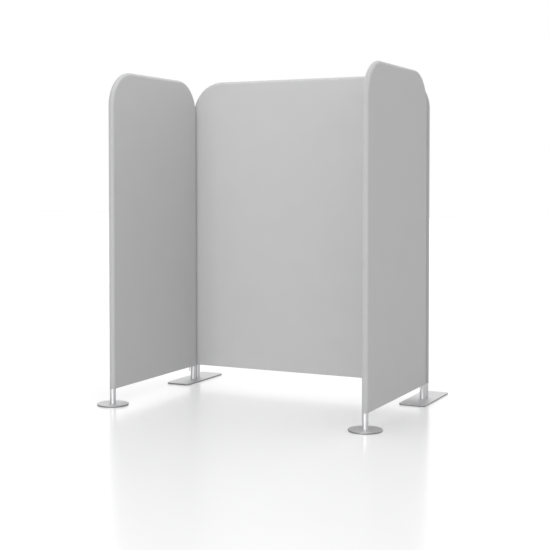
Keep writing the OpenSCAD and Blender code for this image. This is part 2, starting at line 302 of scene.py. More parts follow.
def roll_path(size, face):
    """Centre points and outward directions in (s, z), from hem to hem over the top."""
    heights, inset, turn = face_rows(size)
    below = np.linspace(size["hem_z"], heights[0], SLEEVE_ROWS)[:-1]
    s = np.concatenate([0 * below, inset])
    z = np.concatenate([below, heights])
    turn = np.concatenate([0 * below, turn])
    top = face[-1, 1:-1, 0]
    centre = np.concatenate(
        [
            np.stack([s, z], -1),
            np.stack([top, np.full_like(top, heights[-1])], -1),
            np.stack([size["span"] - s[::-1], z[::-1]], -1),
        ]
    )
    outward = np.concatenate(
        [
            np.stack([-np.cos(turn), np.sin(turn)], -1),
            np.stack([0 * top, 1 + 0 * top], -1),
            np.stack([np.cos(turn[::-1]), np.sin(turn[::-1])], -1),
        ]
    )
    return centre, outward


def edge_roll(size, side, face, seed):
    """The rolled edge: centre + outward r sin a, and n = side r cos a, for a to 90.

    The radius r is the cloth's own plus the seam's relief and the gathers.
    """
    r = size["radius"]
    centre, outward = roll_path(size, face)
    along = np.concatenate([[0], np.cumsum(np.hypot(*np.diff(centre, axis=0).T))])
    angle = np.linspace(0, math.pi / 2, ROLL_STEPS + 1)
    last = angle[-1] - angle[-2]
    angle = np.append(angle[:-1], angle[-2] + last * np.array(SEAM_SHARES))
    arc = (math.pi / 2 - angle) * r
    lift = seam_lift(arc)[None, :] + gather(along[:, None], arc[None, :], seed)
    radius = r + lift * np.sin(angle) ** 2
    flat = centre[:, None, :] + outward[:, None, :] * (radius * np.sin(angle))[..., None]
    grid = np.stack([flat[..., 0], side * radius * np.cos(angle), flat[..., 1]], axis=-1)
    uv = centre[:, None, :] + outward[:, None, :] * (angle * r)[None, :, None]
    return grid, uv


path = roll_path(SIZES["rear"], face_grid(SIZES["rear"], -1))[0]
print("rear tube path:", round(np.hypot(*np.diff(path, axis=0).T).sum(), 3), "m, hem to hem")

# %% [markdown]
# ### The bottom fold
# Under the rail the cloth drops straight, folds sharply at its hem and runs flat to
# the zip. The fold fades out at each post, where the cloth is a plain sleeve, and
# the flat part is cut to a round opening for the post.

# %% Bottom fold
FOLD_R = 0.0030
FOLD_STEPS = 4
FLAT_STEPS = 9
POST_HOLE_R = 0.0163


def smooth(x):
    """Rises from 0 to 1 as x does, level at both ends: 3 x^2 - 2 x^3."""
    x = np.clip(x, 0, 1)
    return x * x * (3 - 2 * x)


def bottom_fold(size, side, face):
    """Rows down from the rail's axis, round the hem's fold and in to the zip."""
    r, hem = size["radius"], size["hem_z"]
    s = face[0, :, 0]
    from_post = np.minimum(s, size["span"] - s)
    fold = FOLD_R * smooth(from_post / r)
    edge = ZIP_HALF * smooth((from_post - ZIP_START + ZIP_CLOSE) / ZIP_CLOSE)

    down = np.linspace(0, 1, SLEEVE_ROWS)[:, None]
    drop_z = (hem + r) - down * (r - fold)
    a = np.linspace(0, math.pi / 2, FOLD_STEPS + 1)[1:, None]
    turn_n, turn_z = r - fold * (1 - np.cos(a)), hem + fold * (1 - np.sin(a))
    b = np.linspace(0, math.pi / 2, FLAT_STEPS + 1)[1:, None]
    flat_n = edge + (r - fold - edge) * np.cos(b)
    n = np.concatenate([r + 0 * drop_z, turn_n, flat_n])
    z = np.concatenate([drop_z, turn_z, hem + 0 * flat_n])

    hole = np.sqrt(np.clip(POST_HOLE_R**2 - n**2, 0, None))
    hole[: SLEEVE_ROWS + FOLD_STEPS] = 0
    pushed = hole + (r - hole) * from_post / r
    distance = np.where(from_post < r, pushed, from_post + 0 * hole)
    across = np.where(s < size["span"] / 2, distance, size["span"] - distance)
    grid = np.stack([across, side * n, z], axis=-1)
    steps = np.hypot(np.diff(n, axis=0), np.diff(z, axis=0))
    fall = np.concatenate([0 * s[None, :], np.cumsum(steps, axis=0)])
    uv = np.stack([across, hem + r - fall], axis=-1)
    return grid, uv


trial = bottom_fold(SIZES["rear"], -1, face_grid(SIZES["rear"], -1))[0]
print("bottom fold rows and columns:", trial.shape[:2])

# %% [markdown]
# ### From the screen's plane to the booth
# One set of formulas makes all three screens, so each grid is turned into the booth's
# frame only at the end. How far a point has turned round the tube is stored with it,
# because the painted shade on the cloth's rolled edges follows it.

# %% Place in the booth's frame
def to_world(size, grid):
    """From the screen's plane (s, n, z) to the booth's frame.

    The rear screen runs along +X with n along +Y. A wing runs along +Y with n along -X.
    """
    s, n, z = grid[..., 0], grid[..., 1], grid[..., 2]
    if size["across"] == 0:
        return np.stack([size["start"] + s, size["middle"] + n, z], axis=-1)
    return np.stack([size["middle"] - n, size["start"] + s, z], axis=-1)


def mark_bend(mesh, size):
    """Stores how far each point has turned round the tube: 1 - (n / r)^2, 0 when flat."""
    points = np.empty(len(mesh.vertices) * 3, np.float32)
    mesh.vertices.foreach_get("co", points)
    n = points.reshape(-1, 3)[:, 1 - size["across"]] - size["middle"]
    bend = np.clip(1 - (n / size["radius"]) ** 2, 0, 1).astype(np.float32)
    mesh.attributes.new("bend", "FLOAT", "POINT").data.foreach_set("value", bend)


for name, size in SIZES.items():
    print(name, "screen's first post at", np.round(to_world(size, np.zeros(3))[:2], 4))


# %% One panel's mesh
def panel_mesh(name, size, side):
    """One cloth panel: face, edge roll and bottom fold, welded along their edges."""
    face = face_grid(size, side)
    roll, roll_uv = edge_roll(size, side, face, SEEDS[side])
    fold, fold_uv = bottom_fold(size, side, face)
    grids = [(face, side > 0), (roll, side < 0), (fold, side < 0)]
    world = [(to_world(size, grid), False, flip) for grid, flip in grids]
    mesh = mesh_from_grids(name, world, [face[..., ::2], roll_uv, fold_uv])
    mark_bend(mesh, size)
    return mesh


print("columns of each face:", {name: len(face_columns(size)) for name, size in SIZES.items()})

# %% [markdown]
# ## Shader groups
# Knit and soft variation are each made once, as a group of nodes with named inputs,
# and used by several finishes with their own values. Nodes could be laid out by hand
# in Blender's editor. Here a few small functions do it, so a formula reads as one.


# %% Start a group
def new_group(name, inputs, outputs):
    """An empty shader group; inputs and outputs map a socket name to its kind."""
    group = bpy.data.node_groups.new(name, "ShaderNodeTree")
    kinds = {"value": "NodeSocketFloat", "vector": "NodeSocketVector"}
    for in_out, sockets in (("INPUT", inputs), ("OUTPUT", outputs)):
        for label, kind in sockets.items():
            group.interface.new_socket(label, in_out=in_out, socket_type=kinds[kind])
    return group, group.nodes.new("NodeGroupInput"), group.nodes.new("NodeGroupOutput")


print("shader groups before the first is made:", len(bpy.data.node_groups))


# %% Nodes for sums and noise
def wire(tree, source, target):
    """A link from an output socket to an input socket."""
    tree.links.new(source, target)


def math_node(tree, operation, first, second=None):
    """A Math node; each operand is a number or a socket. Returns its output socket."""
    node = tree.nodes.new("ShaderNodeMath")
    node.operation = operation
    for socket, operand in zip(node.inputs, (first, second), strict=False):
        if operand is None:
            continue
        if isinstance(operand, (int, float)):
            socket.default_value = operand
        else:
            wire(tree, operand, socket)
    return node.outputs[0]


def noise(tree, vector, scale, detail):
    """Noise from 0 to 1; the scale is a socket, in cells to a metre."""
    node = tree.nodes.new("ShaderNodeTexNoise")
    node.inputs["Detail"].default_value = detail
    wire(tree, vector, node.inputs["Vector"])
    wire(tree, scale, node.inputs["Scale"])
    return node.outputs[0]


def ramp(tree, value, low, high):
    """Maps a 0 to 1 value onto low to high."""
    node = tree.nodes.new("ShaderNodeMapRange")
    wire(tree, value, node.inputs["Value"])
    node.inputs["To Min"].default_value = low
    node.inputs["To Max"].default_value = high
    return node.outputs["Result"]


print("node helpers:", [helper.__name__ for helper in (wire, math_node, noise, ramp)])

# %% [markdown]
# ### Knit
# Stretch knit is rows of loops. Each column of loops is a wale and each row a course.
# Modelled loops would need millions of faces, so two crossed waves give their height:
# a wave across the wale, and one along it that leans into a V. The height also gives
# the loops a painted shade, lighter on their crests and darker in the hollows.

# %% Knit group
SLANT = 0.5
LOOP_LOW, LOOP_WAVE = 0.65, 0.35
# painted shade of the loops: the colour runs from the low value, in the hollows, to the high
# one, on the crests
LOOP_PAINTED_SHADE_LOW, LOOP_PAINTED_SHADE_HIGH = 0.885, 1.065


def make_knit_group():
    """Rows of loops: columns of V stitches, from two crossed sine waves, and their painted
    shade.

    height = |sin(pi u / wale)| * (low + wave sin(2 pi (v / course + slant |sin|)))
    """
    group, inlet, outlet = new_group(
        "knit",
        {"Vector": "vector", "Wale": "value", "Course": "value"},
        {"Height": "value", "Shade": "value"},
    )
    split = group.nodes.new("ShaderNodeSeparateXYZ")
    wire(group, inlet.outputs["Vector"], split.inputs[0])
    u = math_node(group, "DIVIDE", split.outputs[0], inlet.outputs["Wale"])
    v = math_node(group, "DIVIDE", split.outputs[1], inlet.outputs["Course"])
    wave = math_node(group, "SINE", math_node(group, "MULTIPLY", u, math.pi))
    column = math_node(group, "ABSOLUTE", wave)
    slant = math_node(group, "ADD", v, math_node(group, "MULTIPLY", column, SLANT))
    course = math_node(group, "SINE", math_node(group, "MULTIPLY", slant, 2 * math.pi))
    loops = math_node(group, "MULTIPLY", course, LOOP_WAVE)
    loops = math_node(group, "ADD", loops, LOOP_LOW)
    height = math_node(group, "MULTIPLY", column, loops)
    wire(group, height, outlet.inputs["Height"])
    # painted shade: lighter on the loops' crests, darker in the hollows between them
    wire(group, ramp(group, height, LOOP_PAINTED_SHADE_LOW, LOOP_PAINTED_SHADE_HIGH), outlet.inputs["Shade"])
    return group


KNIT = make_knit_group()
print("nodes in the knit group:", len(KNIT.nodes))

# %% [markdown]
# ### Mottle
# No real surface is one even colour. A broad noise tints it by a few percent, and a
# fine one is the grain that roughness and bump follow.

# %% Mottle group
TINT_LOW, TINT_HIGH = 0.975, 1.025
BROAD_DETAIL, FINE_DETAIL = 3.0, 2.0


def make_mottle_group():
    """Broad noise as a tint, a factor round 1, and fine noise as a grain from 0 to 1."""
    group, inlet, outlet = new_group(
        "mottle",
        {"Vector": "vector", "Broad": "value", "Fine": "value"},
        {"Tint": "value", "Grain": "value"},
    )
    broad = noise(group, inlet.outputs["Vector"], inlet.outputs["Broad"], BROAD_DETAIL)
    fine = noise(group, inlet.outputs["Vector"], inlet.outputs["Fine"], FINE_DETAIL)
    wire(group, ramp(group, broad, TINT_LOW, TINT_HIGH), outlet.inputs["Tint"])
    wire(group, fine, outlet.inputs["Grain"])
    return group


MOTTLE = make_mottle_group()
print("groups:", [g.name for g in bpy.data.node_groups])

# %% [markdown]
# ### From groups to a material
# A material keeps its own Principled shader. The groups only give it colours and
# values: a tint multiplies the base colour, and a height makes the bump.


# %% Material helpers
def new_material(name, roughness=0.5, metallic=0.0):
    """A material with a Principled shader, returned with its tree and shader."""
    material = bpy.data.materials.new(name)
    material.use_nodes = True
    tree = material.node_tree
    shader = tree.nodes["Principled BSDF"]
    shader.inputs["Roughness"].default_value = roughness
    shader.inputs["Metallic"].default_value = metallic
    return material, tree, shader


def coordinates(tree, kind):
    """The point being shaded, in the piece's Object, UV or other coordinates."""
    return tree.nodes.new("ShaderNodeTexCoord").outputs[kind]


def use_group(tree, group, vector, **values):
    """A shader group placed in a tree, with its named values set."""
    node = tree.nodes.new("ShaderNodeGroup")
    node.node_tree = group
    wire(tree, vector, node.inputs["Vector"])
    for label, value in values.items():
        node.inputs[label].default_value = value
    return node


def tinted(tree, colour, *factors):
    """A colour multiplied by one or more factor sockets."""
    total = factors[0]
    for factor in factors[1:]:
        total = math_node(tree, "MULTIPLY", total, factor)
    mix = tree.nodes.new("ShaderNodeVectorMath")
    mix.operation = "SCALE"
    mix.inputs[0].default_value = colour
    wire(tree, total, mix.inputs["Scale"])
    return mix.outputs[0]


def bump(tree, shader, height, distance, strength):
    """Relief of a height from 0 to 1, distance metres deep, on a shader's normal."""
    node = tree.nodes.new("ShaderNodeBump")
    node.inputs["Distance"].default_value = distance
    node.inputs["Strength"].default_value = strength
    wire(tree, height, node.inputs["Height"])
    wire(tree, node.outputs["Normal"], shader.inputs["Normal"])


print("material helpers:", [f.__name__ for f in (new_material, use_group, tinted, bump)])

# %% [markdown]
# ## Cloth finish
# A matt, light grey stretch knit. Its colour is a plain grey that the painted shade of
# the stitches and a broad mottle vary by a few percent. The stitches are 0.8 mm apart, so
# they only show near to; further off, what shows is the soft sheen of the nap. Round the
# tubes the cloth is darker, as painted shade on its rolled edges.

# %% Cloth material
CLOTH_GREY = (0.461, 0.461, 0.466)
# painted shade: the tone the cloth is darkened to at the middle of its rolled edges
ROLL_PAINTED_SHADE = 0.89
WALE, COURSE = 0.0008, 0.0009
SHEEN, SHEEN_ROUGHNESS = 0.12, 0.4
CLOTH_BROAD, CLOTH_FINE = 7.0, 2400.0
CLOTH_ROUGHNESS, CLOTH_ROUGH_LOW, CLOTH_ROUGH_HIGH = 0.85, 0.8, 0.95
CLOTH_SPECULAR = 0.25
NAP_SHARE = 0.4
CLOTH_RELIEF, CLOTH_RELIEF_STRENGTH = 0.00014, 0.7


def make_cloth():
    """Matt knit: grey x painted stitch shade x mottle x painted shade on the rolled edges."""
    material, tree, shader = new_material("stretch knit", CLOTH_ROUGHNESS)
    uv = coordinates(tree, "UV")
    knit = use_group(tree, KNIT, uv, Wale=WALE, Course=COURSE)
    mottle = use_group(tree, MOTTLE, uv, Broad=CLOTH_BROAD, Fine=CLOTH_FINE)
    # painted shade: the knit's shade darkens the hollows between the stitches, and the bend
    # darkens the cloth where it rolls round the tubes
    turned = tree.nodes.new("ShaderNodeAttribute")
    turned.attribute_name = "bend"
    painted_roll_shade = ramp(tree, turned.outputs["Fac"], 1.0, ROLL_PAINTED_SHADE)
    shade = tinted(tree, CLOTH_GREY, knit.outputs["Shade"], mottle.outputs["Tint"], painted_roll_shade)
    wire(tree, shade, shader.inputs["Base Color"])
    rough = ramp(tree, mottle.outputs["Grain"], CLOTH_ROUGH_LOW, CLOTH_ROUGH_HIGH)
    wire(tree, rough, shader.inputs["Roughness"])
    shader.inputs["Sheen Weight"].default_value = SHEEN
    shader.inputs["Sheen Roughness"].default_value = SHEEN_ROUGHNESS
    shader.inputs["Specular IOR Level"].default_value = CLOTH_SPECULAR
    nap = math_node(tree, "MULTIPLY", mottle.outputs["Grain"], NAP_SHARE)
    height = math_node(tree, "ADD", knit.outputs["Height"], nap)
    bump(tree, shader, height, CLOTH_RELIEF, CLOTH_RELIEF_STRENGTH)
    return material


cloth = make_cloth()
print("cloth material:", len(cloth.node_tree.nodes), "nodes")

# %% [markdown]
# ## The six cloth panels
# Each cover's two halves replace its plain shell. The knit is cut about four percent
# smaller than the frame and stretched over it.

# %% Make the panels
STRETCH = 1.04
SIDES = {"rear": ("front", "back"), "left": ("inner", "outer"), "right": ("outer", "inner")}


def make_panel(size, side, label):
    """A cloth panel in place of its side of the plain cover."""
    name = f"{size['name']}_{label}_panel"
    piece = link(name, panel_mesh(name, size, side))
    solidify(piece, CLOTH_THICKNESS)
    piece.data.materials.append(cloth)
    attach(piece, BODIES[size["name"]])
    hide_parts(f"{size['name']}_cover")
    roll = size["radius"] * math.pi / 2
    under = size["radius"] - ZIP_HALF
    width = (size["span"] + 2 * roll) / STRETCH
    length = (size["top_z"] + roll - size["hem_z"] + under) / STRETCH
    cut = f"{width:.3f} x {length:.3f} m"
    print(name, len(piece.data.polygons), "faces, cut", cut)


for name, size in SIZES.items():
    for side, label in zip((-1, 1), SIDES[name], strict=True):
        make_panel(size, side, label)

# %% [markdown]
# ## Steel feet
# The feet are laser-cut plate with the sharp corners of the cut broken. The cut face
# is darker than the satin top, which draws a thin dark line round each plate. A box
# with a Bevel modifier could serve, but a disc and a plate with round corners would
# need two ways. Both are one outline carried up and inwards along a quarter circle.


# %% Rounded plates
EDGE_R = 0.0012
EDGE_STEPS = 5
CUT_EDGE_SLOPE = 0.6
CAP_SHARES = (0.0, 0.5, 0.96)
ROUND_SLACK = 1e-6
TWIN_CORNER_R = 0.020
CORNER_STEPS, DISC_STEPS = 24, 48


def outline(width, length, radius, steps):
    """Points and outward directions round a rectangle with round corners."""
    turn = np.linspace(0, math.pi / 2, steps + 1)
    starts = np.array([0, 1, 2, 3]) * math.pi / 2
    angles = (starts[:, None] + turn[None, :]).ravel()
    out = np.stack([np.cos(angles), np.sin(angles)], -1)
    signs = np.array([[1, 1], [-1, 1], [-1, -1], [1, -1]])
    corner = np.array([width / 2 - radius, length / 2 - radius]) * signs
    return np.repeat(corner, steps + 1, axis=0) + radius * out, out


def plate_rings(points, out, low, high):
    """Rings of a plate: bottom centre, rounded rim, top centre, as one closed skin.

    Each ring is the outline moved inwards by r (1 - cos a) and up by r sin a.
    """
    a = np.linspace(0, math.pi / 2, EDGE_STEPS)
    inwards = np.concatenate([EDGE_R * (1 - np.sin(a)), EDGE_R * (1 - np.cos(a))])
    rise, fall = EDGE_R * (1 - np.cos(a)), EDGE_R * (1 - np.sin(a))
    heights = np.concatenate([low + rise, high - fall])
    rim = points[None] - out[None] * inwards[:, None, None]
    rim = np.concatenate([rim, np.repeat(heights[:, None, None], len(points), 1)], axis=-1)
    middle = points.mean(axis=0)
    caps = []
    for ring, level in ((rim[0], low), (rim[-1], high)):
        share = np.array(CAP_SHARES)[:, None, None]
        flat = middle + (ring[:, :2] - middle) * share
        caps.append(np.concatenate([flat, np.full(flat.shape[:2] + (1,), level)], axis=-1))
    return np.concatenate([caps[0], rim, caps[1][::-1]])


def make_plate(node, body, radius):
    """A rounded plate in place of a plain one, in the same box; no radius is a disc.

    Faces that point more sideways than up or down are marked as the cut edge.
    """
    low, high = (np.array(corner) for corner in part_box(node))
    width, length = high[:2] - low[:2]
    steps = CORNER_STEPS if radius else DISC_STEPS
    points, out = outline(width, length, radius or width / 2 - ROUND_SLACK, steps)
    points = points + (low[:2] + high[:2]) / 2
    rings = plate_rings(points, out, low[2], high[2])
    mesh = mesh_from_grids(f"{node}_rounded", [(rings, True, False)])
    piece = link(f"{node}_rounded", mesh)
    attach(piece, body)
    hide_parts(node)
    upward = np.empty(len(mesh.polygons) * 3, np.float32)
    mesh.polygons.foreach_get("normal", upward)
    edge = np.abs(upward.reshape(-1, 3)[:, 2]) < CUT_EDGE_SLOPE
    mesh.polygons.foreach_set("material_index", edge.astype(np.int32))
    return piece


PLATES = [
    make_plate("left_twin_plate", "rear_screen", TWIN_CORNER_R),
    make_plate("right_twin_plate", "rear_screen", TWIN_CORNER_R),
    make_plate("left_disc_foot", "left_wing", None),
    make_plate("right_disc_foot", "right_wing", None),
]
print("faces on each plate:", [len(plate.data.polygons) for plate in PLATES])

# %% [markdown]
# ## Zips
# Each cover is closed along its bottom by a metal zip. Seen from below, its teeth
# are the finest detail of the booth, so the plain chain is replaced by two cloth
# tapes and rows of teeth. A zip could be one long mesh with a texture for its teeth,
# but its outline would stay straight. The teeth are one small block with rounded
# ends instead, repeated along the zip, alternately from the left and the right tape.


# %% Repeat a small shape
FINE_WELD, FINE_SLIVER = 1e-6, 1e-7


def repeat(shape, places):
    """Copies of a closed (rows, columns, 3) grid moved to each place, as one array."""
    return places[:, None, None, :] + shape[None]


def repeated_mesh(name, size, shape, places):
    """One mesh of many closed shapes, each with its first and last row at a point."""
    rows, cols = shape.shape[:2]
    copies = to_world(size, repeat(shape, places))
    first = grid_faces(rows, cols, 0, True)
    starts = np.arange(len(places)) * rows * cols
    faces = (first[None] + starts[:, None, None]).reshape(-1, 4)[:, ::-1]
    mesh = bpy.data.meshes.new(name)
    mesh.from_pydata(copies.reshape(-1, 3), [], faces.tolist())
    work = bmesh.new()
    work.from_mesh(mesh)
    bmesh.ops.remove_doubles(work, verts=work.verts, dist=FINE_WELD)
    bmesh.ops.dissolve_degenerate(work, edges=work.edges, dist=FINE_SLIVER)
    work.to_mesh(mesh)
    work.free()
    return mesh


def capped_tube(stations, scales, half_a, half_b, sides, power):
    """Rings along n: a superellipse |a|^p + |b|^p = 1, scaled at each station."""
    turn = np.arange(sides) * 2 * math.pi / sides + math.pi / sides
    c, s = np.cos(turn), np.sin(turn)
    a = np.sign(c) * np.abs(c) ** (2 / power) * half_a
    b = np.sign(s) * np.abs(s) ** (2 / power) * half_b
    ring = np.stack([a, 0 * a, b], -1)
    grid = ring[None] * np.array(scales)[:, None, None]
    grid[..., 1] = np.array(stations)[:, None]
    return grid


trial = capped_tube([0, 0, 1, 1], [0, 1, 1, 0], 1.0, 1.0, 8, 2)
print("faces of a closed tube with eight sides:", len(grid_faces(*trial.shape[:2], 0, True)))

# %% [markdown]
# ### Tapes
# The tapes are sewn to the cover's edges, and each is a flat strip with rounded edges.
# The teeth stand below them, so the tapes begin a tooth's depth above the chain's
# lowest level. Sizes are in metres.

# %% Tapes
TOOTH_DEPTH = 0.00115
TAPE_GAP = 0.0004
TAPE_ROOM = 0.0001
TAPE_EDGE_R = 0.0003
TAPE_EDGE_STEPS = 3
TAPE_ROWS = 120


def zip_levels(size):
    """The lowest level of the teeth, and the lower and upper faces of the tapes."""
    low, high = (corner[2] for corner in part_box(f"{size['name']}_zip_chain"))
    return low, low + TOOTH_DEPTH, high


def tape_grid(size, side, low, high):
    """A flat tape with rounded edges, a closed outline carried along the zip."""
    inner, outer = TAPE_GAP, ZIP_HALF - TAPE_ROOM
    points, _ = outline(outer - inner, high - low, TAPE_EDGE_R, TAPE_EDGE_STEPS)
    points = points + np.array([(inner + outer) / 2, (low + high) / 2])
    first, last = ZIP_START + TAPE_ROOM, size["span"] - ZIP_START - TAPE_ROOM
    run = np.linspace(first, last, TAPE_ROWS)
    rows = np.concatenate([run[:1], run, run[-1:]])
    middle = points.mean(axis=0)
    rings = np.repeat(points[None], len(rows), axis=0)
    rings[0] = rings[-1] = middle
    s = np.repeat(rows[:, None], len(points), axis=1)
    return np.stack([s, side * rings[..., 0], rings[..., 1]], axis=-1)


def make_tapes(size):
    """Both tapes of a zip as one piece."""
    _, tape_low, high = zip_levels(size)
    tapes = [
        (to_world(size, tape_grid(size, side, tape_low, high)), True, side < 0)
        for side in (-1, 1)
    ]
    name = f"{size['name']}_zip_tapes"
    return link(name, mesh_from_grids(name, tapes))


_, tape_low, tape_high = zip_levels(SIZES["rear"])
print("tape thickness:", round((tape_high - tape_low) * 1000, 2), "mm")

# %% [markdown]
# ### Teeth
# A tooth is a small block with rounded ends that reaches across the zip. Neighbours
# stand half a pitch apart and a little to opposite sides, as closed teeth do, and
# each is let into the tapes by a fifth of a millimetre, twice the sink named below.

# %% Teeth
TOOTH_PITCH = 0.0025
TOOTH_LENGTH = 0.0034
TOOTH_WIDTH_SHARE = 0.22
TOOTH_OFFSET = 0.0006
TOOTH_BEVEL = 0.0003
TOOTH_SINK = 0.0001
TOOTH_SCALES = (0, 0.75, 1, 1, 0.75, 0)
TOOTH_SIDES, TOOTH_SQUARENESS = 8, 3.5
END_ROOM = 0.002


def make_teeth(size):
    """Interlocked teeth: one block at every half pitch, left and right by turns."""
    low, tape_low, _ = zip_levels(size)
    last = size["span"] - ZIP_START - END_ROOM
    run = np.arange(ZIP_START + END_ROOM, last, TOOTH_PITCH / 2)
    side = np.where(np.arange(len(run)) % 2, 1, -1)
    half_z = (tape_low - low) / 2 + TOOTH_SINK
    places = np.stack([run, side * TOOTH_OFFSET, 0 * run + low + half_z], axis=-1)
    half = TOOTH_LENGTH / 2
    stations = [-half, -half, -half + TOOTH_BEVEL, half - TOOTH_BEVEL, half, half]
    half_s = TOOTH_PITCH * TOOTH_WIDTH_SHARE
    tooth = capped_tube(
        stations, TOOTH_SCALES, half_s, half_z, TOOTH_SIDES, TOOTH_SQUARENESS
    )
    name = f"{size['name']}_zip_teeth"
    return link(name, repeated_mesh(name, size, tooth, places))


rear_run = SIZES["rear"]["span"] - 2 * (ZIP_START + END_ROOM)
print("rear teeth:", math.ceil(rear_run / (TOOTH_PITCH / 2)))

# %% [markdown]
# ### Sewing
# Two lines of thread hold the tapes to the cover. A stitch is a short, round piece of
# thread with thinner ends, lying along the zip on the cloth's underside.

# %% Sewing
THREAD_R = 0.00022
THREAD_SIDES = 6
THREAD_STATIONS = (-1, -0.6, 0, 0.6, 1)
THREAD_SCALES = (0, 0.8, 1, 0.8, 0)
STITCH_PITCH = 0.0034
STITCH_LENGTH = 0.0026
SEWING_LINE = 0.0072


def make_sewing(size):
    """Stitches on both sewing lines; the thread is turned from n to run along s."""
    run = np.arange(ZIP_START, size["span"] - ZIP_START, STITCH_PITCH)
    across = np.repeat([-SEWING_LINE, SEWING_LINE], len(run))
    places = np.stack([np.tile(run, 2), across, 0 * across + size["hem_z"]], axis=-1)
    stations = np.array(THREAD_STATIONS) * (STITCH_LENGTH / 2)
    thread = capped_tube(stations, THREAD_SCALES, THREAD_R, THREAD_R, THREAD_SIDES, 2)
    thread = thread[..., [1, 0, 2]][:, ::-1]
    name = f"{size['name']}_zip_sewing"
    return link(name, repeated_mesh(name, size, thread, places))


print("stitches a metre:", round(1 / STITCH_PITCH), "on each line")

# %% [markdown]
# ### The three zips
# Tapes and teeth stand for the plain chain, and the sewing is added to it. All three
# move with their own screen.


# %% Make the zips
def make_zip(size):
    """The tapes, teeth and sewing of one screen, each riding on its screen."""
    name, body = size["name"], BODIES[size["name"]]
    tape, teeth, sewing = make_tapes(size), make_teeth(size), make_sewing(size)
    for piece, slot in ((tape, "zip_tape"), (teeth, "zip_metal"), (sewing, "stretch_cloth")):
        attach(piece, body)
    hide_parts(f"{name}_zip_chain")
    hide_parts(f"{name}_zip_chain")
    counts = [len(piece.data.polygons) for piece in (tape, teeth, sewing)]
    print(name, "zip: faces of tapes, teeth and sewing", counts)
    return {"tape": tape, "teeth": teeth, "sewing": sewing}


ZIPS = {name: make_zip(size) for name, size in SIZES.items()}

# %% [markdown]
# ## Leaf springs
# Each snap button stands on a bent leaf inside its tube. The leaf gives way as the
# button is pressed. A leaf can't follow the button as a rigid part would; here each is
# a merged copy of the imported leaf, which moves with its screen.

# %% Leaf springs, merged
BUTTONS = {
    "rear_left": ((1, 0, 0), -1), "rear_right": ((1, 0, 0), 1),
    "left_front": ((0, 1, 0), -1), "left_rear": ((0, 1, 0), 1),
    "right_front": ((0, 1, 0), -1), "right_rear": ((0, 1, 0), 1),
}


def make_spring(place, axis, end):
    """A merged copy of the bent leaf, in place of the imported one."""
    node = f"{place}_leaf_spring"
    mesh = frame["nodes"][node].data.copy()
    work = bmesh.new()
    work.from_mesh(mesh)
    bmesh.ops.remove_doubles(work, verts=work.verts, dist=FINE_WELD)
    work.to_mesh(mesh)
    work.free()
    piece = link(f"{node}_bent", mesh, smooth=False)
    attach(piece, BODIES[place.split("_")[0]])
    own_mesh(piece)
    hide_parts(node)
    return piece


SPRINGS = [make_spring(place, *how) for place, how in BUTTONS.items()]
print("springs:", len(SPRINGS))

# %% [markdown]
# ## Metal and rubber finishes
# Posts are brushed and clear-anodised aluminium: pale, with a soft highlight drawn
# out along the tube. The plates are satin steel with a fine grain, and their cut
# edges are darker than their faces. The inner fittings each have their own finish
# too. One function makes every metal, because they differ only in colour, roughness,
# the way their grain runs and how they reflect at a grazing angle.


# %% Metal materials
GRAIN_DEPTH, GRAIN_STRENGTH = 0.00002, 0.3
METAL_BROAD, METAL_FINE = 9.0, 900.0


def make_metal(name, colour, roughness, streak, scale=(1.0, 1.0, 1.0), edge=1.0):
    """Metal with a grain drawn out along an axis by the scale of its coordinates.

    Streak is the share by which the grain varies the roughness. Edge, below 1, takes
    the whiteness out of the reflection at a grazing angle.
    """
    material, tree, shader = new_material(name, roughness, 1.0)
    shader.inputs["Specular Tint"].default_value = (edge, edge, edge, 1)
    mapping = tree.nodes.new("ShaderNodeMapping")
    wire(tree, coordinates(tree, "Object"), mapping.inputs["Vector"])
    mapping.inputs["Scale"].default_value = scale
    vector = mapping.outputs["Vector"]
    grain = use_group(tree, MOTTLE, vector, Broad=METAL_BROAD, Fine=METAL_FINE)
    wire(tree, tinted(tree, colour, grain.outputs["Tint"]), shader.inputs["Base Color"])
    low, high = roughness * (1 - streak), roughness * (1 + streak)
    wire(tree, ramp(tree, grain.outputs["Grain"], low, high), shader.inputs["Roughness"])
    bump(tree, shader, grain.outputs["Grain"], GRAIN_DEPTH, GRAIN_STRENGTH)
    return material


print("a metal's grain is", GRAIN_DEPTH * 1000, "mm deep")

# %% [markdown]
# ### Rubber and zip tape
# The pads under the feet are moulded rubber, nearly black and matt. The tapes are a
# coarser, darker knit than the cover's, and they use the same knit group.

# %% Rubber and tape materials
RUBBER_GREY = (0.03, 0.03, 0.032)
RUBBER_ROUGHNESS, RUBBER_ROUGH_LOW, RUBBER_ROUGH_HIGH = 0.75, 0.65, 0.9
RUBBER_BROAD, RUBBER_FINE = 12.0, 1500.0
RUBBER_RELIEF, RUBBER_RELIEF_STRENGTH = 0.0001, 0.5
TAPE_GREY = (0.30, 0.30, 0.305)
TAPE_ROUGHNESS, TAPE_ROUGH_LOW, TAPE_ROUGH_HIGH = 0.7, 0.55, 0.8
TAPE_BROAD, TAPE_FINE = 20.0, 2500.0
TAPE_LOOP = 0.0014
TAPE_RELIEF, TAPE_RELIEF_STRENGTH = 0.0003, 0.6


def make_rubber():
    """Moulded rubber: a dark grey with a fine, shallow grain."""
    material, tree, shader = new_material("rubber", RUBBER_ROUGHNESS)
    vector = coordinates(tree, "Object")
    grain = use_group(tree, MOTTLE, vector, Broad=RUBBER_BROAD, Fine=RUBBER_FINE)
    wire(tree, tinted(tree, RUBBER_GREY, grain.outputs["Tint"]), shader.inputs["Base Color"])
    rough = ramp(tree, grain.outputs["Grain"], RUBBER_ROUGH_LOW, RUBBER_ROUGH_HIGH)
    wire(tree, rough, shader.inputs["Roughness"])
    bump(tree, shader, grain.outputs["Grain"], RUBBER_RELIEF, RUBBER_RELIEF_STRENGTH)
    return material


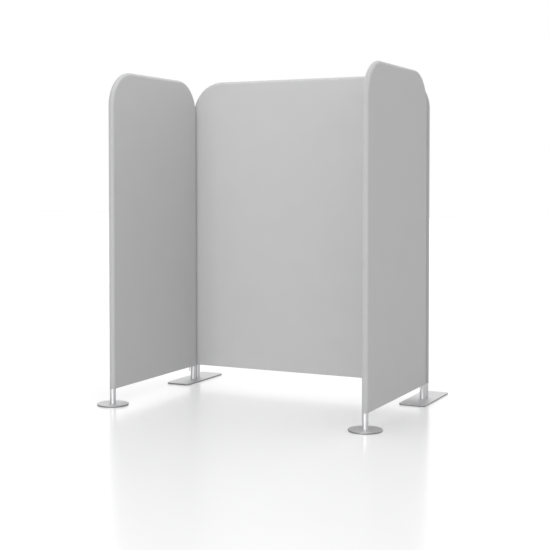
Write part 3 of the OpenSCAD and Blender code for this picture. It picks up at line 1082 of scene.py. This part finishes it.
def make_zip_tape():
    """Coarse knit with a mottle: grey x painted shade of the loops x tint."""
    material, tree, shader = new_material("zip tape", TAPE_ROUGHNESS)
    vector = coordinates(tree, "Object")
    grain = use_group(tree, MOTTLE, vector, Broad=TAPE_BROAD, Fine=TAPE_FINE)
    knit = use_group(tree, KNIT, vector, Wale=TAPE_LOOP, Course=TAPE_LOOP)
    # painted shade: the knit's shade darkens the hollows between the tape's loops
    shade = tinted(tree, TAPE_GREY, knit.outputs["Shade"], grain.outputs["Tint"])
    wire(tree, shade, shader.inputs["Base Color"])
    rough = ramp(tree, grain.outputs["Grain"], TAPE_ROUGH_LOW, TAPE_ROUGH_HIGH)
    wire(tree, rough, shader.inputs["Roughness"])
    bump(tree, shader, knit.outputs["Height"], TAPE_RELIEF, TAPE_RELIEF_STRENGTH)
    return material


print("tape loops:", TAPE_LOOP * 1000, "mm, cover loops:", WALE * 1000, "mm")

# %% [markdown]
# ### A finish for every piece
# Each row gives a metal's colour, its roughness, its streak and the scale that draws
# its grain out: a small number makes it long along that axis.

# %% Finishes
ALONG_Z = (1, 1, 0.02)
TURNED = (0.05, 0.05, 1)
ALONG_X = (0.04, 1, 1)
ACROSS_CUT = (1, 1, 0.3)
FINISHES = {
    "frame_tube": make_metal("anodised tube", (0.66, 0.66, 0.67), 0.52, 0.12, ALONG_Z, edge=0.6),
    "joiner_aluminium": make_metal("mill aluminium", (0.7, 0.7, 0.71), 0.35, 0.3, ALONG_Z),
    "rivet_aluminium": make_metal("rivet aluminium", (0.65, 0.65, 0.66), 0.35, 0.3),
    "spigot_aluminium": make_metal("turned aluminium", (0.78, 0.78, 0.79), 0.3, 0.3, TURNED),
    "base_steel": make_metal("satin steel", (0.57, 0.57, 0.575), 0.5, 0.2, ALONG_X),
    "screw_steel": make_metal("zinc plate", (0.5, 0.5, 0.52), 0.35, 0.2),
    "spring_steel": make_metal("spring steel", (0.25, 0.26, 0.3), 0.3, 0.2),
    "button_steel": make_metal("plated button", (0.68, 0.68, 0.69), 0.22, 0.2),
    "zip_metal": make_metal("plated zip", (0.62, 0.62, 0.63), 0.25, 0.2),
    "rubber_pad": make_rubber(),
    "zip_tape": make_zip_tape(),
    "stretch_cloth": cloth,
}

CUT_EDGE = make_metal("cut steel edge", (0.33, 0.33, 0.335), 0.5, 0.25, ACROSS_CUT)
print("finishes:", len(FINISHES))

# %% [markdown]
# ### Dress the pieces
# A node's slot in the record names its finish. A plate has two: the satin face, and
# the cut edge where its faces are marked for it.

# %% Dress the pieces
SLOTS = {row["node"]: row["material_slot"] for row in frame["record"]["subparts"]}
for node, piece in frame["nodes"].items():
    piece.data.materials.clear()
    piece.data.materials.append(FINISHES[SLOTS[node]])
for parts in ZIPS.values():
    parts["tape"].data.materials.append(FINISHES["zip_tape"])
    parts["teeth"].data.materials.append(FINISHES["zip_metal"])
    parts["sewing"].data.materials.append(FINISHES["zip_tape"])
for spring in SPRINGS:
    spring.data.materials.clear()
    spring.data.materials.append(FINISHES["spring_steel"])
for plate in PLATES:
    plate.data.materials.append(FINISHES["base_steel"])
    plate.data.materials.append(CUT_EDGE)
print("nodes dressed:", len(SLOTS))

# %% [markdown]
# ## Floor and light
# A pale, slightly glossy floor and a bright, soft studio. Plain white surroundings
# would light every face alike and the screens would run together, so the light has
# directions:
# - a broad softbox in front, another from the right and a weaker one above;
# - surroundings that are brightest behind the booth and at the horizon, which the
#   floor mirrors towards the camera.
#
# The camera itself sees the surroundings as plain white. The floor gives off a little
# light of its own, as a lit table does, which keeps it white away from the booth.

# %% Floor
bpy.context.scene.view_settings.view_transform = "Standard"
FLOOR_HALF = 30.0
FLOOR_ROUGHNESS = 0.20
FLOOR_GLOW = 0.18
FLOOR_GREY = (0.62, 0.62, 0.62, 1)
FLOOR_IOR = 1.8
WHITE = (1, 1, 1, 1)

corners = np.array([[-1, -1, 0], [1, -1, 0], [1, 1, 0], [-1, 1, 0]]) * FLOOR_HALF
floor_mesh = bpy.data.meshes.new("floor")
floor_mesh.from_pydata(corners, [], [[0, 1, 2, 3]])
floor = link("floor", floor_mesh)
floor_paint, _, floor_shader = new_material("floor", FLOOR_ROUGHNESS)
floor_shader.inputs["Base Color"].default_value = FLOOR_GREY
floor_shader.inputs["IOR"].default_value = FLOOR_IOR
floor_shader.inputs["Emission Color"].default_value = WHITE
floor_shader.inputs["Emission Strength"].default_value = FLOOR_GLOW
floor.data.materials.append(floor_paint)
print("floor:", 2 * FLOOR_HALF, "m square")

# %% [markdown]
# ### Surroundings
# A recorded studio, wrapped round the scene, could light the booth. A sum of a few
# smooth terms is enough here, and each can be set on its own: an even part, a bright
# horizon and a soft lobe towards the right, the back and the top.

# %% Surroundings
EVEN_LIGHT = 0.17
HORIZON_POWER, HORIZON_STRENGTH = 6.0, 0.45
LOBES = (  # axis, power, strength
    ((1, 0, 0), 2.0, 0.15),
    ((0, 1, 0), 1.0, 1.02),
    ((0, 0, 1), 2.0, 0.80),
)


def make_surroundings():
    """White for the camera; as a light, even, with a bright horizon and soft lobes.

    The horizon is (1 - |z|)^power and a lobe is max(0, direction . axis)^power.
    """
    world = bpy.data.worlds.new("studio")
    world.use_nodes = True
    tree = world.node_tree
    way = coordinates(tree, "Generated")
    split = tree.nodes.new("ShaderNodeSeparateXYZ")
    wire(tree, way, split.inputs[0])
    level = math_node(tree, "SUBTRACT", 1.0, math_node(tree, "ABSOLUTE", split.outputs[2]))
    ring = math_node(tree, "POWER", level, HORIZON_POWER)
    ring = math_node(tree, "MULTIPLY", ring, HORIZON_STRENGTH)
    total = math_node(tree, "ADD", ring, EVEN_LIGHT)
    for axis, power, strength in LOBES:
        dot = tree.nodes.new("ShaderNodeVectorMath")
        dot.operation = "DOT_PRODUCT"
        wire(tree, way, dot.inputs[0])
        dot.inputs[1].default_value = axis
        facing = math_node(tree, "MAXIMUM", dot.outputs["Value"], 0.0)
        lobe = math_node(tree, "MULTIPLY", math_node(tree, "POWER", facing, power), strength)
        total = math_node(tree, "ADD", lobe, total)
    lit = tree.nodes["Background"]
    wire(tree, total, lit.inputs["Strength"])
    lit.inputs["Color"].default_value = WHITE
    seen = tree.nodes.new("ShaderNodeBackground")
    seen.inputs["Color"].default_value = WHITE
    mix = tree.nodes.new("ShaderNodeMixShader")
    wire(tree, tree.nodes.new("ShaderNodeLightPath").outputs["Is Camera Ray"], mix.inputs[0])
    wire(tree, lit.outputs[0], mix.inputs[1])
    wire(tree, seen.outputs[0], mix.inputs[2])
    wire(tree, mix.outputs[0], tree.nodes["World Output"].inputs["Surface"])
    return world


bpy.context.scene.world = make_surroundings()
print("lobes in the surroundings:", len(LOBES))

# %% [markdown]
# ### Softboxes
# Three rectangular lamps, as a studio has on stands: the front one is the main light,
# and the right one keeps the faces that look that way from going flat.


# %% Lamps
def softbox(name, place, target, sides, power):
    """A rectangular area lamp at place that looks at target."""
    data = bpy.data.lights.new(name, "AREA")
    data.shape = "RECTANGLE"
    data.size, data.size_y = sides
    data.energy = power
    lamp = bpy.data.objects.new(name, data)
    bpy.context.collection.objects.link(lamp)
    lamp.location = place
    aim = Vector(target) - Vector(place)
    lamp.rotation_euler = aim.to_track_quat("-Z", "Y").to_euler()


FRONT_PLACE, FRONT_SIDES, FRONT_POWER = (0.5, -7.5, 2.3), (5.0, 4.0), 322.0
RIGHT_PLACE, RIGHT_SIDES, RIGHT_POWER = (5.0, -6.5, 2.3), (4.0, 4.0), 84.0
TOP_PLACE, TOP_SIDES, TOP_POWER = (0.0, -0.2, 4.5), (3.0, 3.0), 75.0
BOOTH_MIDDLE, BOOTH_FOOT = (0, 0, 1.0), (0, 0, 0.0)
softbox("front softbox", FRONT_PLACE, BOOTH_MIDDLE, FRONT_SIDES, FRONT_POWER)
softbox("right softbox", RIGHT_PLACE, BOOTH_MIDDLE, RIGHT_SIDES, RIGHT_POWER)
softbox("top softbox", TOP_PLACE, BOOTH_FOOT, TOP_SIDES, TOP_POWER)
